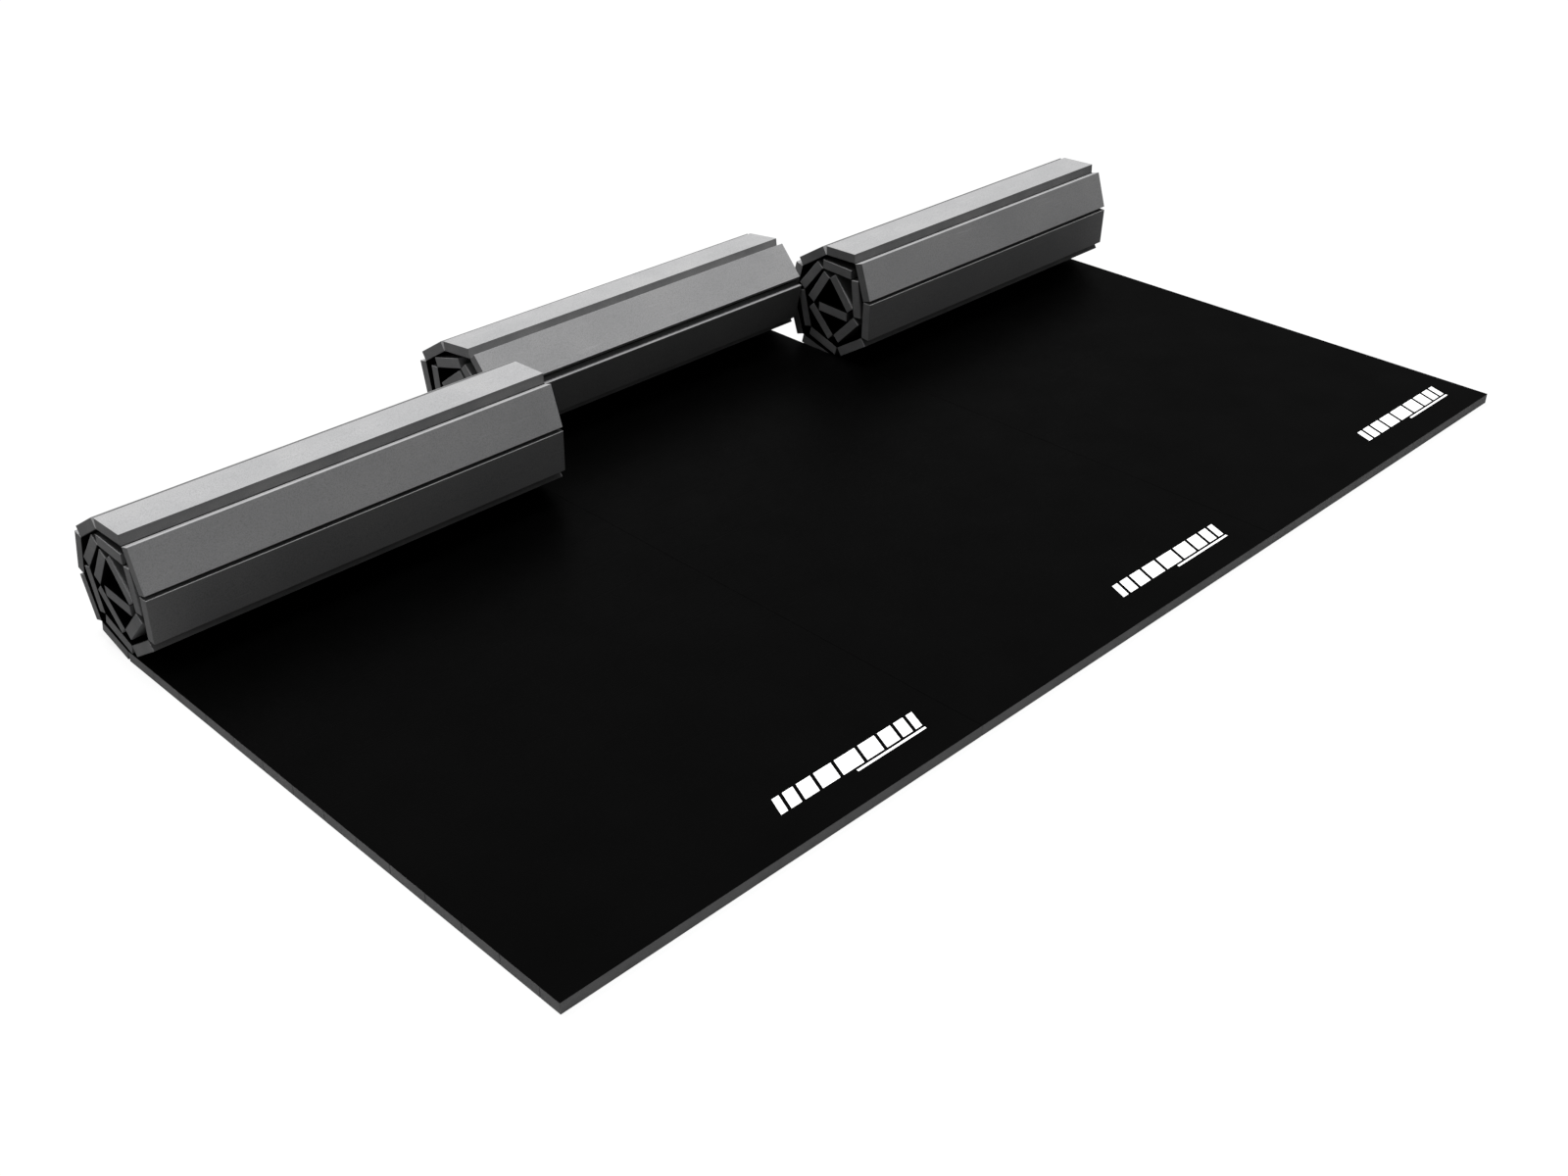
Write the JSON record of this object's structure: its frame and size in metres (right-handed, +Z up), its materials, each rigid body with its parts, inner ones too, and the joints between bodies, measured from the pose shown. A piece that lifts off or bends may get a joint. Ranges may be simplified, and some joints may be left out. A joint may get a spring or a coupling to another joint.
{
  "type": "roll-out gym mat set",
  "caption": "Set of slatted roll-out training mats lying side by side, each a row of foam slats under one vinyl skin, partly rolled up.",
  "frame": {"origin": "on the floor under the middle of the whole set's box", "axes": "+X across the strips, from the left strip to the right one; +Y from the front edge towards the rolls; +Z up"},
  "size_m": [4.571, 2.6723, 0.4931],
  "materials": {
    "foam": "closed-cell cross-linked foam, matt, with cut side walls",
    "vinyl": "black vinyl skin with a fine low-gloss grain",
    "print": "thin white screen print"
  },
  "bodies": {
    "laid_strips": {"left_laid_foam": "foam", "left_laid_vinyl": "vinyl", "left_mark": "print", "middle_laid_foam": "foam", "middle_laid_vinyl": "vinyl", "middle_mark": "print", "right_laid_foam": "foam", "right_laid_vinyl": "vinyl", "right_mark": "print"},
    "left_slat_01": {"left_slat_01": "foam"},
    "left_slat_02": {"left_slat_02": "foam"},
    "left_slat_03": {"left_slat_03": "foam"},
    "left_slat_04": {"left_slat_04": "foam"},
    "left_slat_05": {"left_slat_05": "foam"},
    "left_slat_06": {"left_slat_06": "foam"},
    "left_slat_07": {"left_slat_07": "foam"},
    "left_slat_08": {"left_slat_08": "foam"},
    "left_slat_09": {"left_slat_09": "foam"},
    "left_slat_10": {"left_slat_10": "foam"},
    "left_slat_11": {"left_slat_11": "foam"},
    "left_slat_12": {"left_slat_12": "foam"},
    "left_slat_13": {"left_slat_13": "foam"},
    "left_slat_14": {"left_slat_14": "foam"},
    "left_slat_15": {"left_slat_15": "foam"},
    "left_slat_16": {"left_slat_16": "foam"},
    "left_slat_17": {"left_slat_17": "foam"},
    "left_slat_18": {"left_slat_18": "foam"},
    "middle_slat_01": {"middle_slat_01": "foam"},
    "middle_slat_02": {"middle_slat_02": "foam"},
    "middle_slat_03": {"middle_slat_03": "foam"},
    "middle_slat_04": {"middle_slat_04": "foam"},
    "middle_slat_05": {"middle_slat_05": "foam"},
    "middle_slat_06": {"middle_slat_06": "foam"},
    "middle_slat_07": {"middle_slat_07": "foam"},
    "middle_slat_08": {"middle_slat_08": "foam"},
    "middle_slat_09": {"middle_slat_09": "foam"},
    "middle_slat_10": {"middle_slat_10": "foam"},
    "middle_slat_11": {"middle_slat_11": "foam"},
    "middle_slat_12": {"middle_slat_12": "foam"},
    "middle_slat_13": {"middle_slat_13": "foam"},
    "middle_slat_14": {"middle_slat_14": "foam"},
    "middle_slat_15": {"middle_slat_15": "foam"},
    "right_slat_01": {"right_slat_01": "foam"},
    "right_slat_02": {"right_slat_02": "foam"},
    "right_slat_03": {"right_slat_03": "foam"},
    "right_slat_04": {"right_slat_04": "foam"},
    "right_slat_05": {"right_slat_05": "foam"},
    "right_slat_06": {"right_slat_06": "foam"},
    "right_slat_07": {"right_slat_07": "foam"},
    "right_slat_08": {"right_slat_08": "foam"},
    "right_slat_09": {"right_slat_09": "foam"},
    "right_slat_10": {"right_slat_10": "foam"},
    "right_slat_11": {"right_slat_11": "foam"},
    "right_slat_12": {"right_slat_12": "foam"},
    "right_slat_13": {"right_slat_13": "foam"},
    "right_slat_14": {"right_slat_14": "foam"},
    "right_slat_15": {"right_slat_15": "foam"},
    "right_slat_16": {"right_slat_16": "foam"},
    "right_slat_17": {"right_slat_17": "foam"},
    "right_slat_18": {"right_slat_18": "foam"}
  },
  "joints": [
    {"name": "left_hinge_01", "type": "hinge", "parent": "laid_strips", "child": "left_slat_01", "pos_m": [0, 0.72119, 0.0381], "axis": [-1, 0, 0], "range_deg": [0, 15]},
    {"name": "left_unroll", "type": "hinge", "parent": "left_slat_01", "child": "left_slat_02", "pos_m": [0, 0.8684, 0.07754], "axis": [-1, 0, 0], "range_deg": [0, 57]},
    {"name": "left_hinge_03", "type": "hinge", "parent": "left_slat_02", "child": "left_slat_03", "pos_m": [0, 0.91549, 0.22248], "axis": [-1, 0, 0], "range_deg": [0, 34]},
    {"name": "left_hinge_04", "type": "hinge", "parent": "left_slat_03", "child": "left_slat_04", "pos_m": [0, 0.87349, 0.36898], "axis": [-1, 0, 0], "range_deg": [0, 42]},
    {"name": "left_hinge_05", "type": "hinge", "parent": "left_slat_04", "child": "left_slat_05", "pos_m": [0, 0.74425, 0.44974], "axis": [-1, 0, 0], "range_deg": [0, 30]},
    {"name": "left_hinge_06", "type": "hinge", "parent": "left_slat_05", "child": "left_slat_06", "pos_m": [0, 0.59194, 0.45506], "axis": [-1, 0, 0], "range_deg": [0, 74]},
    {"name": "left_hinge_07", "type": "hinge", "parent": "left_slat_06", "child": "left_slat_07", "pos_m": [0, 0.54484, 0.31012], "axis": [-1, 0, 0], "range_deg": [0, 20]},
    {"name": "left_hinge_08", "type": "hinge", "parent": "left_slat_07", "child": "left_slat_08", "pos_m": [0, 0.55016, 0.15781], "axis": [-1, 0, 0], "range_deg": [0, 56]},
    {"name": "left_hinge_09", "type": "hinge", "parent": "left_slat_08", "child": "left_slat_09", "pos_m": [0, 0.67941, 0.07705], "axis": [-1, 0, 0], "range_deg": [0, 50]},
    {"name": "left_hinge_10", "type": "hinge", "parent": "left_slat_09", "child": "left_slat_10", "pos_m": [0, 0.82435, 0.12415], "axis": [-1, 0, 0], "range_deg": [0, 58]},
    {"name": "left_hinge_11", "type": "hinge", "parent": "left_slat_10", "child": "left_slat_11", "pos_m": [0, 0.86121, 0.27202], "axis": [-1, 0, 0], "range_deg": [0, 54]},
    {"name": "left_hinge_12", "type": "hinge", "parent": "left_slat_11", "child": "left_slat_12", "pos_m": [0, 0.76326, 0.38876], "axis": [-1, 0, 0], "range_deg": [0, 52]},
    {"name": "left_hinge_13", "type": "hinge", "parent": "left_slat_12", "child": "left_slat_13", "pos_m": [0, 0.61095, 0.38345], "axis": [-1, 0, 0], "range_deg": [0, 82]},
    {"name": "left_hinge_14", "type": "hinge", "parent": "left_slat_13", "child": "left_slat_14", "pos_m": [0, 0.59502, 0.23188], "axis": [-1, 0, 0], "range_deg": [0, 51]},
    {"name": "left_hinge_15", "type": "hinge", "parent": "left_slat_14", "child": "left_slat_15", "pos_m": [0, 0.70278, 0.12412], "axis": [-1, 0, 0], "range_deg": [0, 90]},
    {"name": "left_hinge_16", "type": "hinge", "parent": "left_slat_15", "child": "left_slat_16", "pos_m": [0, 0.81054, 0.23188], "axis": [-1, 0, 0], "range_deg": [0, 79]},
    {"name": "left_hinge_17", "type": "hinge", "parent": "left_slat_16", "child": "left_slat_17", "pos_m": [0, 0.72532, 0.35823], "axis": [-1, 0, 0], "range_deg": [0, 107]},
    {"name": "left_hinge_18", "type": "hinge", "parent": "left_slat_17", "child": "left_slat_18", "pos_m": [0, 0.62941, 0.23979], "axis": [-1, 0, 0], "range_deg": [0, 131]},
    {"name": "middle_hinge_01", "type": "hinge", "parent": "laid_strips", "child": "middle_slat_01", "pos_m": [0, 1.17839, 0.0381], "axis": [-1, 0, 0], "range_deg": [0, 52]},
    {"name": "middle_hinge_02", "type": "hinge", "parent": "middle_slat_01", "child": "middle_slat_02", "pos_m": [0, 1.27222, 0.15819], "axis": [-1, 0, 0], "range_deg": [0, 28]},
    {"name": "middle_unroll", "type": "hinge", "parent": "middle_slat_02", "child": "middle_slat_03", "pos_m": [0, 1.29869, 0.30828], "axis": [-1, 0, 0], "range_deg": [0, 68]},
    {"name": "middle_hinge_04", "type": "hinge", "parent": "middle_slat_03", "child": "middle_slat_04", "pos_m": [0, 1.16944, 0.38904], "axis": [-1, 0, 0], "range_deg": [0, 25]},
    {"name": "middle_hinge_05", "type": "hinge", "parent": "middle_slat_04", "child": "middle_slat_05", "pos_m": [0, 1.01818, 0.40761], "axis": [-1, 0, 0], "range_deg": [0, 55]},
    {"name": "middle_hinge_06", "type": "hinge", "parent": "middle_slat_05", "child": "middle_slat_06", "pos_m": [0, 0.9162, 0.29435], "axis": [-1, 0, 0], "range_deg": [0, 55]},
    {"name": "middle_hinge_07", "type": "hinge", "parent": "middle_slat_06", "child": "middle_slat_07", "pos_m": [0, 0.95049, 0.14586], "axis": [-1, 0, 0], "range_deg": [0, 49]},
    {"name": "middle_hinge_08", "type": "hinge", "parent": "middle_slat_07", "child": "middle_slat_08", "pos_m": [0, 1.08505, 0.07431], "axis": [-1, 0, 0], "range_deg": [0, 60]},
    {"name": "middle_hinge_09", "type": "hinge", "parent": "middle_slat_08", "child": "middle_slat_09", "pos_m": [0, 1.21429, 0.15507], "axis": [-1, 0, 0], "range_deg": [0, 53]},
    {"name": "middle_hinge_10", "type": "hinge", "parent": "middle_slat_09", "child": "middle_slat_10", "pos_m": [0, 1.22757, 0.30689], "axis": [-1, 0, 0], "range_deg": [0, 79]},
    {"name": "middle_hinge_11", "type": "hinge", "parent": "middle_slat_10", "child": "middle_slat_11", "pos_m": [0, 1.08108, 0.3489], "axis": [-1, 0, 0], "range_deg": [0, 62]},
    {"name": "middle_hinge_12", "type": "hinge", "parent": "middle_slat_11", "child": "middle_slat_12", "pos_m": [0, 0.97521, 0.23927], "axis": [-1, 0, 0], "range_deg": [0, 84]},
    {"name": "middle_hinge_13", "type": "hinge", "parent": "middle_slat_12", "child": "middle_slat_13", "pos_m": [0, 1.07317, 0.12253], "axis": [-1, 0, 0], "range_deg": [0, 90]},
    {"name": "middle_hinge_14", "type": "hinge", "parent": "middle_slat_13", "child": "middle_slat_14", "pos_m": [0, 1.18992, 0.22049], "axis": [-1, 0, 0], "range_deg": [0, 104]},
    {"name": "middle_hinge_15", "type": "hinge", "parent": "middle_slat_14", "child": "middle_slat_15", "pos_m": [0, 1.06662, 0.31007], "axis": [-1, 0, 0], "range_deg": [0, 148]},
    {"name": "right_hinge_01", "type": "hinge", "parent": "laid_strips", "child": "right_slat_01", "pos_m": [0, 0.72119, 0.0381], "axis": [-1, 0, 0], "range_deg": [0, 15]},
    {"name": "right_unroll", "type": "hinge", "parent": "right_slat_01", "child": "right_slat_02", "pos_m": [0, 0.8684, 0.07754], "axis": [-1, 0, 0], "range_deg": [0, 57]},
    {"name": "right_hinge_03", "type": "hinge", "parent": "right_slat_02", "child": "right_slat_03", "pos_m": [0, 0.91549, 0.22248], "axis": [-1, 0, 0], "range_deg": [0, 34]},
    {"name": "right_hinge_04", "type": "hinge", "parent": "right_slat_03", "child": "right_slat_04", "pos_m": [0, 0.87349, 0.36898], "axis": [-1, 0, 0], "range_deg": [0, 42]},
    {"name": "right_hinge_05", "type": "hinge", "parent": "right_slat_04", "child": "right_slat_05", "pos_m": [0, 0.74425, 0.44974], "axis": [-1, 0, 0], "range_deg": [0, 30]},
    {"name": "right_hinge_06", "type": "hinge", "parent": "right_slat_05", "child": "right_slat_06", "pos_m": [0, 0.59194, 0.45506], "axis": [-1, 0, 0], "range_deg": [0, 74]},
    {"name": "right_hinge_07", "type": "hinge", "parent": "right_slat_06", "child": "right_slat_07", "pos_m": [0, 0.54484, 0.31012], "axis": [-1, 0, 0], "range_deg": [0, 20]},
    {"name": "right_hinge_08", "type": "hinge", "parent": "right_slat_07", "child": "right_slat_08", "pos_m": [0, 0.55016, 0.15781], "axis": [-1, 0, 0], "range_deg": [0, 56]},
    {"name": "right_hinge_09", "type": "hinge", "parent": "right_slat_08", "child": "right_slat_09", "pos_m": [0, 0.67941, 0.07705], "axis": [-1, 0, 0], "range_deg": [0, 50]},
    {"name": "right_hinge_10", "type": "hinge", "parent": "right_slat_09", "child": "right_slat_10", "pos_m": [0, 0.82435, 0.12415], "axis": [-1, 0, 0], "range_deg": [0, 58]},
    {"name": "right_hinge_11", "type": "hinge", "parent": "right_slat_10", "child": "right_slat_11", "pos_m": [0, 0.86121, 0.27202], "axis": [-1, 0, 0], "range_deg": [0, 54]},
    {"name": "right_hinge_12", "type": "hinge", "parent": "right_slat_11", "child": "right_slat_12", "pos_m": [0, 0.76326, 0.38876], "axis": [-1, 0, 0], "range_deg": [0, 52]},
    {"name": "right_hinge_13", "type": "hinge", "parent": "right_slat_12", "child": "right_slat_13", "pos_m": [0, 0.61095, 0.38345], "axis": [-1, 0, 0], "range_deg": [0, 82]},
    {"name": "right_hinge_14", "type": "hinge", "parent": "right_slat_13", "child": "right_slat_14", "pos_m": [0, 0.59502, 0.23188], "axis": [-1, 0, 0], "range_deg": [0, 51]},
    {"name": "right_hinge_15", "type": "hinge", "parent": "right_slat_14", "child": "right_slat_15", "pos_m": [0, 0.70278, 0.12412], "axis": [-1, 0, 0], "range_deg": [0, 90]},
    {"name": "right_hinge_16", "type": "hinge", "parent": "right_slat_15", "child": "right_slat_16", "pos_m": [0, 0.81054, 0.23188], "axis": [-1, 0, 0], "range_deg": [0, 79]},
    {"name": "right_hinge_17", "type": "hinge", "parent": "right_slat_16", "child": "right_slat_17", "pos_m": [0, 0.72532, 0.35823], "axis": [-1, 0, 0], "range_deg": [0, 107]},
    {"name": "right_hinge_18", "type": "hinge", "parent": "right_slat_17", "child": "right_slat_18", "pos_m": [0, 0.62941, 0.23979], "axis": [-1, 0, 0], "range_deg": [0, 131]}
  ],
  "couplings": [
    {"joint": "left_hinge_01", "follows": "left_unroll", "ratio": 0.26316},
    {"joint": "left_hinge_03", "follows": "left_unroll", "ratio": 0.59649},
    {"joint": "left_hinge_04", "follows": "left_unroll", "ratio": 0.73684},
    {"joint": "left_hinge_05", "follows": "left_unroll", "ratio": 0.52632},
    {"joint": "left_hinge_06", "follows": "left_unroll", "ratio": 1.2982},
    {"joint": "left_hinge_07", "follows": "left_unroll", "ratio": 0.35088},
    {"joint": "left_hinge_08", "follows": "left_unroll", "ratio": 0.98246},
    {"joint": "left_hinge_09", "follows": "left_unroll", "ratio": 0.87719},
    {"joint": "left_hinge_10", "follows": "left_unroll", "ratio": 1.0175},
    {"joint": "left_hinge_11", "follows": "left_unroll", "ratio": 0.94737},
    {"joint": "left_hinge_12", "follows": "left_unroll", "ratio": 0.91228},
    {"joint": "left_hinge_13", "follows": "left_unroll", "ratio": 1.4386},
    {"joint": "left_hinge_14", "follows": "left_unroll", "ratio": 0.89474},
    {"joint": "left_hinge_15", "follows": "left_unroll", "ratio": 1.5789},
    {"joint": "left_hinge_16", "follows": "left_unroll", "ratio": 1.386},
    {"joint": "left_hinge_17", "follows": "left_unroll", "ratio": 1.8772},
    {"joint": "left_hinge_18", "follows": "left_unroll", "ratio": 2.2982},
    {"joint": "middle_hinge_01", "follows": "middle_unroll", "ratio": 0.76471},
    {"joint": "middle_hinge_02", "follows": "middle_unroll", "ratio": 0.41176},
    {"joint": "middle_hinge_04", "follows": "middle_unroll", "ratio": 0.36765},
    {"joint": "middle_hinge_05", "follows": "middle_unroll", "ratio": 0.80882},
    {"joint": "middle_hinge_06", "follows": "middle_unroll", "ratio": 0.80882},
    {"joint": "middle_hinge_07", "follows": "middle_unroll", "ratio": 0.72059},
    {"joint": "middle_hinge_08", "follows": "middle_unroll", "ratio": 0.88235},
    {"joint": "middle_hinge_09", "follows": "middle_unroll", "ratio": 0.77941},
    {"joint": "middle_hinge_10", "follows": "middle_unroll", "ratio": 1.1618},
    {"joint": "middle_hinge_11", "follows": "middle_unroll", "ratio": 0.91176},
    {"joint": "middle_hinge_12", "follows": "middle_unroll", "ratio": 1.2353},
    {"joint": "middle_hinge_13", "follows": "middle_unroll", "ratio": 1.3235},
    {"joint": "middle_hinge_14", "follows": "middle_unroll", "ratio": 1.5294},
    {"joint": "middle_hinge_15", "follows": "middle_unroll", "ratio": 2.1765},
    {"joint": "right_hinge_01", "follows": "right_unroll", "ratio": 0.26316},
    {"joint": "right_hinge_03", "follows": "right_unroll", "ratio": 0.59649},
    {"joint": "right_hinge_04", "follows": "right_unroll", "ratio": 0.73684},
    {"joint": "right_hinge_05", "follows": "right_unroll", "ratio": 0.52632},
    {"joint": "right_hinge_06", "follows": "right_unroll", "ratio": 1.2982},
    {"joint": "right_hinge_07", "follows": "right_unroll", "ratio": 0.35088},
    {"joint": "right_hinge_08", "follows": "right_unroll", "ratio": 0.98246},
    {"joint": "right_hinge_09", "follows": "right_unroll", "ratio": 0.87719},
    {"joint": "right_hinge_10", "follows": "right_unroll", "ratio": 1.0175},
    {"joint": "right_hinge_11", "follows": "right_unroll", "ratio": 0.94737},
    {"joint": "right_hinge_12", "follows": "right_unroll", "ratio": 0.91228},
    {"joint": "right_hinge_13", "follows": "right_unroll", "ratio": 1.4386},
    {"joint": "right_hinge_14", "follows": "right_unroll", "ratio": 0.89474},
    {"joint": "right_hinge_15", "follows": "right_unroll", "ratio": 1.5789},
    {"joint": "right_hinge_16", "follows": "right_unroll", "ratio": 1.386},
    {"joint": "right_hinge_17", "follows": "right_unroll", "ratio": 1.8772},
    {"joint": "right_hinge_18", "follows": "right_unroll", "ratio": 2.2982}
  ]
}
